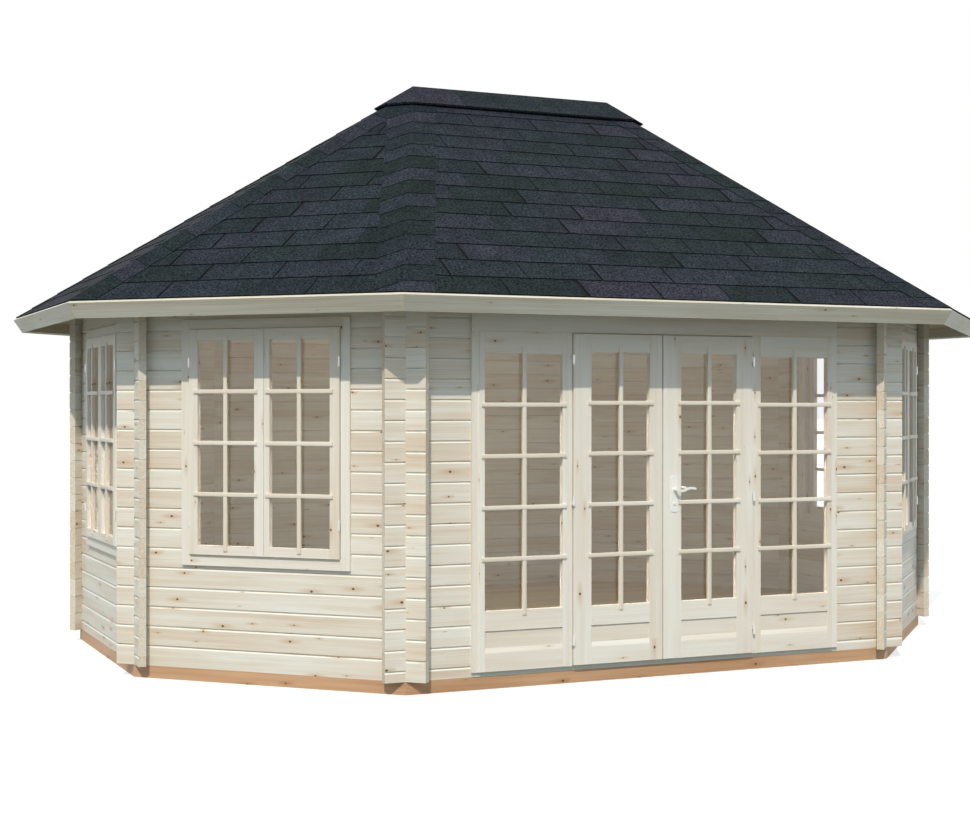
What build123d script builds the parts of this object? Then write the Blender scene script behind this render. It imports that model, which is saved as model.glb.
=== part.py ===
from build123d import *
import os
from math import ceil, cos, radians, sin, tan

os.makedirs("parts", exist_ok=True)

# Plan: a regular octagon, pulled apart sideways by the length of the ridge.
depth_over_walls = 4167.0
ridge_length = 1493.0
corner_turn = 45.0
overrun = 50.0

# Ground frame and floor
foundation_height = 73.0
foundation_width = 95.0
joist_width = 60.0
joist_spacing = 460.0
joist_count = 11
floor_thickness = 19.0
floor_gap = 4.0

# Log walls
log_height = 114.0
log_thickness = 44.0
log_end = 120.0
groove_depth = 6.0
log_chamfer_height = 10.0
log_lip_height = 3.0
tie_log_interval = 5

# Roof, measured on the upper face of the shingles and square to the slope
roof_pitch = 32.0
eave_overhang = 419.0
eave_height = 2165.5
shingle_thickness = 8.0
shingle_setback = 32.0
roof_board_thickness = 19.0
fascia_height = 100.0
fascia_thickness = 20.0
cap_reach = 232.0
cap_rise = 25.0
cap_thickness = 13.0
cap_curb_reach = 180.0
rafter_width = 44.0
rafter_depth = 95.0
ridge_beam_width = 44.0
ridge_beam_depth = 140.0
hub_apothem = 62.0

# Frames that wrap the cut ends of the logs
casing_proud = 18.0
casing_overlap = 25.0
glass_thickness = 4.0
glass_groove = 8.0
glass_play = 0.4
panel_recess = 8.0

# Door group in the front wall
door_frame_width = 2444.0
door_head_logs = 17
door_post_width = 42.0
mullion_width = 28.0
sill_height = 26.0
sill_proud = 4.0
leaf_gap = 5.0
meeting_gap = 8.0
meeting_offset = -18.0
leaf_head_gap = 6.0
leaf_proud = 38.0
leaf_thickness = 40.0
leaf_top = 1990.0
doorway_half_width = 603.0
hinge_stile = 112.0
leaf_glass_near = 106.0
door_stop_width = 16.0
door_stop_gap = 5.0

# Glazing and panel heights shared by the leaves and the sidelights
glass_bottom = 437.0
leaf_glass_top = 1886.0
panel_bottom = 202.0
panel_top = 325.0
sidelight_proud = 26.0
sidelight_thickness = 40.0
sidelight_stile = 33.0
sidelight_glass_top = 1873.0

# Door hinges and lever lock
barrel_radius = 7.0
barrel_length = 27.0
barrel_play = 0.5
hinge_pin_radius = 4.0
hinge_pin_play = 0.3
hinge_tab_width = 12.0
hinge_tab_thickness = 2.5
hinge_heights = (245.0, 1040.0, 1842.0)
lock_plate_x = 57.0
lock_plate_width = 42.0
lock_plate_height = 215.0
lock_plate_bottom = 959.0
lock_plate_thickness = 5.0
lock_plate_corner = 16.0
lever_height = 1091.0
lever_reach = 120.0
lever_wave = 7.0
lever_tip_rise = 4.0
lever_width = 13.0
lever_thickness = 10.0
lever_stand_off = 42.0
spindle_radius = 10.0
spindle_play = 0.5
spindle_hole_radius = 14.0
cylinder_drop = 82.0
cylinder_radius = 8.5
cylinder_proud = 6.0

# Windows, each with two sashes side by side
window_casing_width = 1070.0
window_casing_bottom = 665.0
window_casing_top = 2074.0
window_casing_face = 56.0
window_casing_foot = 65.0
sash_proud = 34.0
sash_thickness = 36.0
sash_play = 2.0
sash_meeting_offset = 7.0
sash_stile = 58.0
left_meeting_stile = 60.0
right_meeting_stile = 36.0
sash_bottom_rail = 54.0
sash_top_rail = 63.0

# Directions that the eight walls face, in degrees from the right-hand end
FRONT, FRONT_RIGHT, RIGHT_END, BACK_RIGHT = -90.0, -45.0, 0.0, 45.0
BACK, BACK_LEFT, LEFT_END, FRONT_LEFT = 90.0, 135.0, 180.0, -135.0
STRAIGHT_WALLS = (FRONT, RIGHT_END, BACK, LEFT_END)
DIAGONAL_WALLS = (FRONT_RIGHT, BACK_RIGHT, BACK_LEFT, FRONT_LEFT)
ALL_WALLS = STRAIGHT_WALLS + DIAGONAL_WALLS

# Sizes that follow from the ones above
half_depth = depth_over_walls / 2
corner_share = tan(radians(corner_turn / 2))
diagonal_length = depth_over_walls * corner_share
front_length = diagonal_length + ridge_length
pitch_share = tan(radians(roof_pitch))
eave_reach = half_depth + eave_overhang
ridge_height = eave_height + eave_reach * pitch_share
boards_under = shingle_thickness + roof_board_thickness
wall_limit = ridge_height - (half_depth - log_thickness - overrun) * pitch_share
door_head_joint = foundation_height + log_height / 2 + door_head_logs * log_height
door_opening_half = door_frame_width / 2 - casing_overlap
sill_top = foundation_height + sill_height
leaf_bottom = sill_top + leaf_gap
head_bottom = leaf_top + leaf_head_gap
hinge_axis_x = doorway_half_width
hinge_axis_proud = leaf_proud + barrel_radius
window_clear_width = window_casing_width - 2 * window_casing_face
window_clear_bottom = window_casing_bottom + window_casing_foot
window_clear_top = window_casing_top - window_casing_face


# Position of a wall: direction it faces and middle of its outer face
def facing(angle):
    return Vector(cos(radians(angle)), sin(radians(angle)), 0)


def along(angle):
    return Vector(-sin(radians(angle)), cos(radians(angle)), 0)


# End of the ridge that a slope or a hip leans on: the middle for front and back
def hip_centre(angle):
    side = (cos(radians(angle)) > corner_share / 2) - (cos(radians(angle)) < -corner_share / 2)
    return Vector(side * ridge_length / 2, 0, 0)


def wall_length(angle):
    return front_length if angle in (FRONT, BACK) else diagonal_length


def wall_middle(angle):
    return hip_centre(angle) + facing(angle) * half_depth


# Upright plane on a wall's outer face: x along the wall, y up, z outwards
def wall_plane(angle, proud=0):
    origin = wall_middle(angle) + facing(angle) * proud
    return Plane(origin=origin, x_dir=along(angle), z_dir=facing(angle))


# Level plane at a wall: x along the wall, y inwards from the outer face
def plan_plane(angle, height=0):
    origin = wall_middle(angle) + Vector(0, 0, height)
    return Plane(origin=origin, x_dir=along(angle), z_dir=(0, 0, 1))


# Plane of a roof slope, a given depth below the upper face of the shingles
def slope_plane(angle, drop):
    normal = facing(angle) * sin(radians(roof_pitch)) + Vector(0, 0, cos(radians(roof_pitch)))
    origin = hip_centre(angle) + Vector(0, 0, ridge_height) - normal * drop
    return Plane(origin=origin, x_dir=along(angle), z_dir=normal)


# Plane square to the slope, cutting it at a given reach from the ridge
def edge_plane(angle, reach):
    normal = facing(angle) * cos(radians(roof_pitch)) - Vector(0, 0, sin(radians(roof_pitch)))
    origin = hip_centre(angle) + facing(angle) * reach + Vector(0, 0, ridge_height - reach * pitch_share)
    return Plane(origin=origin, x_dir=along(angle), z_dir=normal)


# One slope of the hipped roof as a slab with mitred sides
def slope_slab(angle, top_drop, bottom_drop, outer_reach, inner_reach=0):
    crest_half = ridge_length / 2 if angle in (FRONT, BACK) else 0
    foot_reach = outer_reach + overrun
    foot_half = crest_half + foot_reach * corner_share
    crest = [(-crest_half, half_depth), (crest_half, half_depth)] if crest_half else [(0, half_depth)]
    foot = [(foot_half, half_depth - foot_reach), (-foot_half, half_depth - foot_reach)]
    with BuildPart() as slab:
        with BuildSketch(plan_plane(angle)):
            with BuildLine():
                Polyline(*crest, *foot, close=True)
            make_face()
        extrude(amount=ridge_height + overrun)
        split(bisect_by=slope_plane(angle, top_drop), keep=Keep.BOTTOM)
        split(bisect_by=slope_plane(angle, bottom_drop), keep=Keep.TOP)
        split(bisect_by=edge_plane(angle, outer_reach), keep=Keep.BOTTOM)
        if inner_reach:
            split(bisect_by=edge_plane(angle, inner_reach), keep=Keep.TOP)
    return slab.part


# Corners of the plan at a given distance from its middle line
def octagon(apothem):
    near = apothem * corner_share
    ridge_half = ridge_length / 2
    quarter = [(ridge_half + near, apothem), (ridge_half + apothem, near)]
    right = quarter + [(x, -y) for x, y in reversed(quarter)]
    return right + [(-x, -y) for x, y in right]


# Heights of the joints between the logs of one wall
def log_joints(first_joint):
    return [first_joint + course * log_height for course in range(ceil((wall_limit - first_joint) / log_height))]


# Section through a stack of logs, each chamfered at the top of its weather side
def log_section(first_joint):
    face = [(log_thickness, foundation_height), (0, foundation_height)]
    for joint in log_joints(first_joint):
        if joint > foundation_height:
            face += [(0, joint - log_chamfer_height), (groove_depth, joint), (0, joint + log_lip_height)]
    return face + [(0, wall_limit + log_height), (log_thickness, wall_limit + log_height)]


# Where the next wall crosses this one, in plan, at the end on the given side
def crossing(angle, side):
    corner = wall_length(angle) / 2
    skew = log_thickness / tan(radians(corner_turn))
    width = log_thickness / sin(radians(corner_turn))
    outline = [(corner, 0), (corner - width, 0), (corner - width + skew, log_thickness), (corner + skew, log_thickness)]
    return [(side * x, y) for x, y in outline]


# What a wall loses where another crosses it: bottoms and height of the cuts. Of the
# diagonal walls the tie logs run through, with the middle half of their height.
def crossing_cuts(angle):
    interval = tie_log_interval * log_height
    tie_height = log_height / 2
    first_tie = foundation_height + log_height + log_height / 4
    ties = [first_tie + interval * tie for tie in range(ceil((wall_limit - first_tie) / interval))]
    if angle in STRAIGHT_WALLS:
        return ties, tie_height
    between_ties = [first_tie + tie_height - interval] + [tie + tie_height for tie in ties]
    return between_ties, interval - tie_height


# A wall of logs from one place along it to another. The courses of the straight
# and the diagonal walls lie half a log apart.
def log_wall(angle, start, end):
    first_joint = foundation_height + (log_height / 2 if angle in STRAIGHT_WALLS else 0)
    cut_bottoms, cut_height = crossing_cuts(angle)
    section_plane = Plane(
        origin=wall_middle(angle) + along(angle) * start,
        x_dir=facing(angle) * -1,
        z_dir=along(angle),
    )
    with BuildPart() as wall:
        with BuildSketch(section_plane):
            with BuildLine():
                Polyline(*log_section(first_joint), close=True)
            make_face()
        extrude(amount=end - start)
        with BuildSketch(*[plan_plane(angle, bottom) for bottom in cut_bottoms]):
            for side in (-1, 1):
                if start < side * wall_length(angle) / 2 < end:
                    with BuildLine():
                        Polyline(*crossing(angle, side), close=True)
                    make_face()
        extrude(amount=cut_height, mode=Mode.SUBTRACT)
        for neighbour in (angle - corner_turn, angle, angle + corner_turn):
            split(bisect_by=slope_plane(neighbour, boards_under), keep=Keep.BOTTOM)
    return wall.part


# A rectangle on a wall from one corner to the opposite one
def panel(left, bottom, right, top):
    with Locations(((left + right) / 2, (bottom + top) / 2)):
        Rectangle(abs(right - left), abs(top - bottom))


def finish(builder, name):
    builder.part.label = name
    export_step(builder.part, f"parts/{name}.step")


# Foundation beams, joists and floor
with BuildPart() as foundation_frame:
    with BuildSketch():
        with BuildLine():
            Polyline(*octagon(half_depth), close=True)
        make_face()
        with BuildLine():
            Polyline(*octagon(half_depth - foundation_width), close=True)
        make_face(mode=Mode.SUBTRACT)
    extrude(amount=foundation_height)
finish(foundation_frame, "foundation_frame")

with BuildPart() as floor_joists:
    with BuildSketch():
        with GridLocations(joist_spacing, 0, joist_count, 1):
            Rectangle(joist_width, depth_over_walls)
    extrude(amount=foundation_height)
    with BuildSketch():
        with BuildLine():
            Polyline(*octagon(half_depth - foundation_width), close=True)
        make_face()
    extrude(amount=foundation_height, mode=Mode.INTERSECT)
finish(floor_joists, "floor_joists")

with BuildPart() as floor:
    with BuildSketch(Plane.XY.offset(foundation_height)):
        with BuildLine():
            Polyline(*octagon(half_depth - log_thickness - floor_gap), close=True)
        make_face()
    extrude(amount=floor_thickness)
finish(floor, "floor")

# Front wall: logs beside the doors, and logs that run over them
front_end = front_length / 2 + log_end
with BuildPart() as front_wall_left:
    add(log_wall(FRONT, -front_end, -door_opening_half))
    split(bisect_by=Plane.XY.offset(door_head_joint), keep=Keep.BOTTOM)
finish(front_wall_left, "front_wall_left")

with BuildPart() as front_wall_right:
    add(log_wall(FRONT, door_opening_half, front_end))
    split(bisect_by=Plane.XY.offset(door_head_joint), keep=Keep.BOTTOM)
finish(front_wall_right, "front_wall_right")

with BuildPart() as front_wall_top:
    add(log_wall(FRONT, -front_end, front_end))
    split(bisect_by=Plane.XY.offset(door_head_joint), keep=Keep.TOP)
finish(front_wall_top, "front_wall_top")

# Plain log walls at the back
for name, angle in (("back_wall", BACK), ("back_left_wall", BACK_LEFT), ("back_right_wall", BACK_RIGHT)):
    wall_end = wall_length(angle) / 2 + log_end
    with BuildPart() as plain_wall:
        add(log_wall(angle, -wall_end, wall_end))
    finish(plain_wall, name)

# Log walls with a window, the frame that wraps the cut logs, and its sashes
window_walls = {
    "front_left": FRONT_LEFT,
    "front_right": FRONT_RIGHT,
    "left_end": LEFT_END,
    "right_end": RIGHT_END,
}
casing_half = window_casing_width / 2
clear_half = window_clear_width / 2
opening_half = casing_half - casing_overlap
opening_bottom = window_casing_bottom + casing_overlap
opening_top = window_casing_top - casing_overlap
for name, angle in window_walls.items():
    wall_end = wall_length(angle) / 2 + log_end
    with BuildPart() as window_wall:
        add(log_wall(angle, -wall_end, wall_end))
        with BuildSketch(wall_plane(angle)):
            panel(-opening_half, opening_bottom, opening_half, opening_top)
        extrude(amount=-log_thickness, mode=Mode.SUBTRACT)
    finish(window_wall, f"{name}_wall")

    with BuildPart() as window_frame:
        for proud in (0, -log_thickness - casing_proud):
            with BuildSketch(wall_plane(angle, proud)):
                panel(-casing_half, window_casing_bottom, casing_half, window_casing_top)
            extrude(amount=casing_proud)
        with BuildSketch(wall_plane(angle)):
            panel(-opening_half, opening_bottom, opening_half, opening_top)
        extrude(amount=-log_thickness)
        with BuildSketch(wall_plane(angle, casing_proud)):
            panel(-clear_half, window_clear_bottom, clear_half, window_clear_top)
        extrude(amount=-log_thickness - 2 * casing_proud, mode=Mode.SUBTRACT)
    finish(window_frame, f"{name}_window_frame")

# Sashes and their glass, a left and a right one in each window: edges of the sash
# and of its pane. Of the two stiles that meet, the left one shows wider.
sash_top = window_clear_top - sash_play
sash_edge = clear_half - sash_play
left_meeting_edge = sash_meeting_offset - sash_play / 2
right_meeting_edge = sash_meeting_offset + sash_play / 2
pane_far = sash_edge - sash_stile
pane_bottom = window_clear_bottom + sash_bottom_rail
pane_top = sash_top - sash_top_rail
sashes = (
    (-sash_edge, left_meeting_edge, -pane_far, left_meeting_edge - left_meeting_stile),
    (right_meeting_edge, sash_edge, right_meeting_edge + right_meeting_stile, pane_far),
)
with BuildPart() as window_sashes:
    for angle in window_walls.values():
        for sash_left, sash_right, pane_left, pane_right in sashes:
            with BuildSketch(wall_plane(angle, sash_proud)):
                panel(sash_left, window_clear_bottom, sash_right, sash_top)
            extrude(amount=-sash_thickness)
            with BuildSketch(wall_plane(angle, sash_proud)):
                panel(pane_left, pane_bottom, pane_right, pane_top)
            extrude(amount=-sash_thickness, mode=Mode.SUBTRACT)
            with BuildSketch(wall_plane(angle, sash_proud - (sash_thickness - glass_thickness) / 2)):
                panel(
                    pane_left - glass_groove,
                    pane_bottom - glass_groove,
                    pane_right + glass_groove,
                    pane_top + glass_groove,
                )
            extrude(amount=-glass_thickness, mode=Mode.SUBTRACT)
finish(window_sashes, "window_sashes")

glass_edge = glass_groove - glass_play
with BuildPart() as window_glass:
    for angle in window_walls.values():
        for sash_left, sash_right, pane_left, pane_right in sashes:
            with BuildSketch(wall_plane(angle, sash_proud - (sash_thickness - glass_thickness) / 2)):
                panel(
                    pane_left - glass_edge,
                    pane_bottom - glass_edge,
                    pane_right + glass_edge,
                    pane_top + glass_edge,
                )
            extrude(amount=-glass_thickness)
finish(window_glass, "window_glass")

# Door frame: outer posts that wrap the logs, mullions with a stop, head and sill
frame_half = door_frame_width / 2
post_inner = frame_half - door_post_width
mullion_outer = doorway_half_width + mullion_width
stop_inner = doorway_half_width - door_stop_width
stop_front = leaf_thickness - leaf_proud + door_stop_gap
casing_back = log_thickness + casing_proud
with BuildPart() as door_posts:
    for side in (-1, 1):
        with BuildSketch(plan_plane(FRONT, sill_top)):
            panel(side * post_inner, -casing_proud, side * frame_half, 0)
            panel(side * post_inner, 0, side * door_opening_half, log_thickness)
            panel(side * post_inner, log_thickness, side * frame_half, casing_back)
            panel(side * doorway_half_width, -sidelight_proud, side * mullion_outer, casing_back)
            panel(side * stop_inner, stop_front, side * doorway_half_width, casing_back)
        extrude(amount=head_bottom - sill_top)
finish(door_posts, "door_posts")

with BuildPart() as door_head:
    for proud in (casing_proud, -log_thickness):
        with BuildSketch(wall_plane(FRONT, proud)):
            panel(-frame_half, head_bottom, frame_half, door_head_joint + casing_overlap)
        extrude(amount=-casing_proud)
    with BuildSketch(wall_plane(FRONT)):
        panel(-door_opening_half, head_bottom, door_opening_half, door_head_joint)
    extrude(amount=-log_thickness)
    with BuildSketch(wall_plane(FRONT, -stop_front)):
        panel(-stop_inner, head_bottom - door_stop_width, stop_inner, head_bottom)
    extrude(amount=stop_front - casing_back)
finish(door_head, "door_head")

with BuildPart() as door_sill:
    with BuildSketch(plan_plane(FRONT, foundation_height)):
        panel(-frame_half, -sill_proud, frame_half, 0)
        panel(-door_opening_half, 0, door_opening_half, log_thickness)
    extrude(amount=sill_height)
finish(door_sill, "door_sill")


# A framed panel on the front wall: glass above, a sunk field below
def glazed_panel(outline, glass, proud, thickness):
    left, bottom, right, top = glass
    with BuildPart() as framed:
        with BuildSketch(wall_plane(FRONT, proud)):
            panel(*outline)
        extrude(amount=-thickness)
        with BuildSketch(wall_plane(FRONT, proud)):
            panel(*glass)
        extrude(amount=-thickness, mode=Mode.SUBTRACT)
        with BuildSketch(wall_plane(FRONT, proud - (thickness - glass_thickness) / 2)):
            panel(left - glass_groove, bottom - glass_groove, right + glass_groove, top + glass_groove)
        extrude(amount=-glass_thickness, mode=Mode.SUBTRACT)
        for face in (proud, proud - thickness + panel_recess):
            with BuildSketch(wall_plane(FRONT, face)):
                panel(left, panel_bottom, right, panel_top)
            extrude(amount=-panel_recess, mode=Mode.SUBTRACT)
    return framed.part


# The pane that stands in the groove of such a panel
def glass_pane(glass, proud, thickness):
    left, bottom, right, top = glass
    with BuildPart() as pane:
        with BuildSketch(wall_plane(FRONT, proud - (thickness - glass_thickness) / 2)):
            panel(left - glass_edge, bottom - glass_edge, right + glass_edge, top + glass_edge)
        extrude(amount=-glass_thickness)
    return pane.part


# Fixed sidelights between the outer posts and the mullions
sidelight_glass_near = mullion_outer + sidelight_stile
sidelight_glass_far = post_inner - sidelight_stile
sidelights = {
    "left_sidelight": (
        (-post_inner, sill_top, -mullion_outer, head_bottom),
        (-sidelight_glass_far, glass_bottom, -sidelight_glass_near, sidelight_glass_top),
    ),
    "right_sidelight": (
        (mullion_outer, sill_top, post_inner, head_bottom),
        (sidelight_glass_near, glass_bottom, sidelight_glass_far, sidelight_glass_top),
    ),
}
for name, (outline, glass) in sidelights.items():
    with BuildPart() as sidelight:
        add(glazed_panel(outline, glass, sidelight_proud, sidelight_thickness))
    finish(sidelight, name)

with BuildPart() as sidelight_glass:
    for outline, glass in sidelights.values():
        add(glass_pane(glass, sidelight_proud, sidelight_thickness))
finish(sidelight_glass, "sidelight_glass")

# The two door leaves, hung on the mullions and meeting beside the middle
leaf_edge = doorway_half_width - leaf_gap
left_meeting = meeting_offset - meeting_gap / 2
right_meeting = meeting_offset + meeting_gap / 2
leaf_glass_far = leaf_edge - hinge_stile
left_glass = (-leaf_glass_far, glass_bottom, -leaf_glass_near, leaf_glass_top)
right_glass = (leaf_glass_near, glass_bottom, leaf_glass_far, leaf_glass_top)
with BuildPart() as left_door:
    add(glazed_panel((-leaf_edge, leaf_bottom, left_meeting, leaf_top), left_glass, leaf_proud, leaf_thickness))
finish(left_door, "left_door")

with BuildPart() as right_door:
    add(glazed_panel((right_meeting, leaf_bottom, leaf_edge, leaf_top), right_glass, leaf_proud, leaf_thickness))
    with BuildSketch(wall_plane(FRONT, leaf_proud)):
        with Locations((lock_plate_x, lever_height)):
            Circle(spindle_hole_radius)
    extrude(amount=-leaf_thickness, mode=Mode.SUBTRACT)
finish(right_door, "right_door")

for name, glass in (("left_door_glass", left_glass), ("right_door_glass", right_glass)):
    with BuildPart() as door_glass:
        add(glass_pane(glass, leaf_proud, leaf_thickness))
    finish(door_glass, name)

# Lift-off hinges: a barrel with its pin on the mullion, a sleeve on the leaf
with BuildPart() as frame_hinges:
    for side in (-1, 1):
        for height in hinge_heights:
            with BuildSketch(plan_plane(FRONT, height - barrel_length)):
                with Locations((side * hinge_axis_x, -hinge_axis_proud)):
                    Circle(barrel_radius)
                panel(
                    side * hinge_axis_x,
                    -hinge_axis_proud,
                    side * (hinge_axis_x + barrel_radius),
                    -sidelight_proud,
                )
            extrude(amount=barrel_length)
            with BuildSketch(plan_plane(FRONT, height)):
                with Locations((side * hinge_axis_x, -hinge_axis_proud)):
                    Circle(hinge_pin_radius)
            extrude(amount=barrel_length)
finish(frame_hinges, "frame_hinges")

for name, side in (("left_door_hinges", -1), ("right_door_hinges", 1)):
    with BuildPart() as leaf_hinges:
        for height in hinge_heights:
            with BuildSketch(plan_plane(FRONT, height + barrel_play)):
                with Locations((side * hinge_axis_x, -hinge_axis_proud)):
                    Circle(barrel_radius)
                panel(
                    side * (hinge_axis_x - hinge_tab_width),
                    -leaf_proud - hinge_tab_thickness,
                    side * hinge_axis_x,
                    -leaf_proud,
                )
                with Locations((side * hinge_axis_x, -hinge_axis_proud)):
                    Circle(hinge_pin_radius + hinge_pin_play, mode=Mode.SUBTRACT)
            extrude(amount=barrel_length)
    finish(leaf_hinges, name)

# Lock plates on both faces of the right leaf, with the key cylinder
leaf_back = leaf_proud - leaf_thickness
plate_middle = lock_plate_bottom + lock_plate_height / 2
with BuildPart() as lock_plates:
    for face, outwards in ((leaf_proud, 1), (leaf_back, -1)):
        with BuildSketch(wall_plane(FRONT, face)):
            with Locations((lock_plate_x, plate_middle)):
                RectangleRounded(lock_plate_width, lock_plate_height, lock_plate_corner)
            with Locations((lock_plate_x, lever_height)):
                Circle(spindle_radius + spindle_play, mode=Mode.SUBTRACT)
        extrude(amount=outwards * lock_plate_thickness)
        with BuildSketch(wall_plane(FRONT, face)):
            with Locations((lock_plate_x, lever_height - cylinder_drop)):
                Circle(cylinder_radius)
        extrude(amount=outwards * (lock_plate_thickness + cylinder_proud))
finish(lock_plates, "lock_plates")

# Lever: one spindle through the leaf, with a wavy arm on each side
with BuildPart() as lever:
    with BuildSketch(wall_plane(FRONT, leaf_proud + lever_stand_off)):
        with Locations((lock_plate_x, lever_height)):
            Circle(spindle_radius)
    extrude(amount=-leaf_thickness - 2 * lever_stand_off)
    for face in (leaf_proud + lever_stand_off, leaf_back - lever_stand_off + lever_thickness):
        with BuildSketch(wall_plane(FRONT, face) * Location((lock_plate_x, lever_height, 0))):
            with BuildLine():
                sag = ThreePointArc((0, 0), (lever_reach / 4, -lever_wave), (lever_reach / 2, 0))
                TangentArc(sag @ 1, (lever_reach, lever_tip_rise), tangent=sag % 1)
            trace(line_width=lever_width)
            with Locations((lever_reach, lever_tip_rise)):
                Circle(lever_width / 2)
        extrude(amount=-lever_thickness)
finish(lever, "lever")

# Ridge beam with a block at each end that takes the hip rafters
ridge_underside = ridge_height - boards_under / cos(radians(roof_pitch))
with BuildPart() as ridge_beam:
    with BuildSketch(Plane.XY.offset(ridge_underside - ridge_beam_depth)):
        Rectangle(ridge_length, ridge_beam_width)
        with GridLocations(ridge_length, 0, 2, 1):
            RegularPolygon(hub_apothem, len(ALL_WALLS), major_radius=False)
    extrude(amount=ridge_beam_depth)
    for angle in ALL_WALLS:
        split(bisect_by=slope_plane(angle, boards_under), keep=Keep.BOTTOM)
finish(ridge_beam, "ridge_beam")


# One hip rafter, backed to both slopes, from its block into the wall corner
def hip_rafter(angle):
    hip_angle = angle + corner_turn / 2
    hip_share = pitch_share * cos(radians(corner_turn / 2))
    normal = (facing(hip_angle) * hip_share + Vector(0, 0, 1)).normalized()
    plan = Plane(origin=hip_centre(hip_angle), x_dir=facing(hip_angle), z_dir=(0, 0, 1))
    bottom = Plane(
        origin=hip_centre(hip_angle) + Vector(0, 0, ridge_underside) - normal * rafter_depth,
        x_dir=along(hip_angle),
        z_dir=normal,
    )
    with BuildPart() as rafter:
        with BuildSketch(plan):
            panel(hub_apothem, -rafter_width / 2, eave_reach, rafter_width / 2)
        extrude(amount=ridge_height)
        split(bisect_by=bottom, keep=Keep.TOP)
        for wall in (angle, angle + corner_turn):
            split(bisect_by=slope_plane(wall, boards_under), keep=Keep.BOTTOM)
            split(bisect_by=wall_plane(wall, -log_thickness), keep=Keep.BOTTOM)
    return rafter.part


with BuildPart() as hip_rafters:
    for angle in ALL_WALLS:
        add(hip_rafter(angle))
finish(hip_rafters, "hip_rafters")

# Boarded roof slopes, mitred at the hips, with a fascia along each eave
fascia_reach = eave_reach - fascia_thickness * cos(radians(roof_pitch))
roof_slopes = {
    "front_roof": (FRONT,),
    "back_roof": (BACK,),
    "end_roofs": (LEFT_END, RIGHT_END),
    "front_corner_roofs": (FRONT_LEFT, FRONT_RIGHT),
    "back_corner_roofs": (BACK_LEFT, BACK_RIGHT),
}
for name, angles in roof_slopes.items():
    with BuildPart() as slopes:
        for angle in angles:
            add(slope_slab(angle, shingle_thickness, boards_under, fascia_reach))
    finish(slopes, name)

fascia_under = shingle_thickness + fascia_height
for name, angles in (("straight_fascias", STRAIGHT_WALLS), ("diagonal_fascias", DIAGONAL_WALLS)):
    with BuildPart() as fascias:
        for angle in angles:
            add(slope_slab(angle, shingle_thickness, fascia_under, eave_reach, fascia_reach))
    finish(fascias, name)

# Shingle layer over all eight slopes, and the raised cap along the ridge
shingle_reach = eave_reach - shingle_setback * cos(radians(roof_pitch))
with BuildPart() as shingles:
    for angle in ALL_WALLS:
        add(slope_slab(angle, 0, shingle_thickness, shingle_reach))
finish(shingles, "shingles")

with BuildPart() as ridge_cap:
    for angle in ALL_WALLS:
        add(slope_slab(angle, -cap_rise, cap_thickness - cap_rise, cap_reach))
        add(slope_slab(angle, cap_thickness - cap_rise, 0, cap_curb_reach))
finish(ridge_cap, "ridge_cap")
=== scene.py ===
# %% [markdown]
# # A log garden house with a hipped shingle roof
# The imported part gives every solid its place. This lesson dresses it: timber
# gets grain, the roof gets its shingles, and the glazed panels get their bars.
# Everything stays in the part's own frame, in metres, with Z up.

# %% Frame
import math
import random

import bmesh
import bpy
from mathutils import Matrix, Vector


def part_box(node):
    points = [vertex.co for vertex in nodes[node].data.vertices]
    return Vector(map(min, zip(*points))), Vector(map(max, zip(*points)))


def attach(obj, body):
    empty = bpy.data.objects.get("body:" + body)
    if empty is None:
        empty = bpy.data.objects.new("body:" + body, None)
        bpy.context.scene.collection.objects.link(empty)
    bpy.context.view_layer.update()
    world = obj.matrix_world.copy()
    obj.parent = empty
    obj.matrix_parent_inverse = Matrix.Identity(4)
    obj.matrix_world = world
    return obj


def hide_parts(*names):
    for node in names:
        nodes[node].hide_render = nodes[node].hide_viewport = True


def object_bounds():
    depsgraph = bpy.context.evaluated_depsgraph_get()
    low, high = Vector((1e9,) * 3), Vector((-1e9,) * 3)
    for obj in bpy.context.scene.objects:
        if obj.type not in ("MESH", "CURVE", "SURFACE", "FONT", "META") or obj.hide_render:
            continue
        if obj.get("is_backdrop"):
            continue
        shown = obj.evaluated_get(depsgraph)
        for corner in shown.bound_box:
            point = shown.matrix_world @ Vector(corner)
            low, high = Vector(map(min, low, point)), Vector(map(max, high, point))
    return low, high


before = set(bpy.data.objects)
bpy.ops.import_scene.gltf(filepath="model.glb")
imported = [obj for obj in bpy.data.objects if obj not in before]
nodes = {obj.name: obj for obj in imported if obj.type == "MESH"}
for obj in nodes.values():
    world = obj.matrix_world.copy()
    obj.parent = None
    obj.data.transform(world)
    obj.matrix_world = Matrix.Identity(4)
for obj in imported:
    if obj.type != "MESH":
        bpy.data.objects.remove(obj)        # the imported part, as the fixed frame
cad_low, cad_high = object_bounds()
scene = bpy.context.scene
print("frame", len(nodes), "nodes")

# %% [markdown]
# ## The plan
# The house is a regular octagon, pulled apart sideways by the ridge. Depth and
# ridge can be read from the ground frame, so nothing here is measured twice.
# Each wall has axes of its own: along the wall, up, and outwards. Walls turn by
# 45 degrees at each corner, and a hip lies half a turn from either wall.

# %% Plan of the eight walls
STRAIGHT = {"front": -90, "right_end": 0, "back": 90, "left_end": 180}
DIAGONAL = {"front_right": -45, "back_right": 45, "back_left": 135, "front_left": -135}
WALLS = {**STRAIGHT, **DIAGONAL}
TURN, HALF_TURN = 45, 22.5
PITCH = math.radians(32)
SIDEWAYS = 0.2        # a slope that faces less to the side than this has the whole ridge as its crest
ALONG_X, ALONG_Y, UP = Vector((1, 0, 0)), Vector((0, 1, 0)), Vector((0, 0, 1))

plan_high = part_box("foundation_frame")[1]
half_depth = plan_high.y
ridge_half = plan_high.x - plan_high.y
ground_height = plan_high.z
corner_sin, corner_cos, corner_share = [
    ratio(math.radians(HALF_TURN)) for ratio in (math.sin, math.cos, math.tan)
]
hip_fall = math.tan(PITCH) * corner_cos


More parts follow.
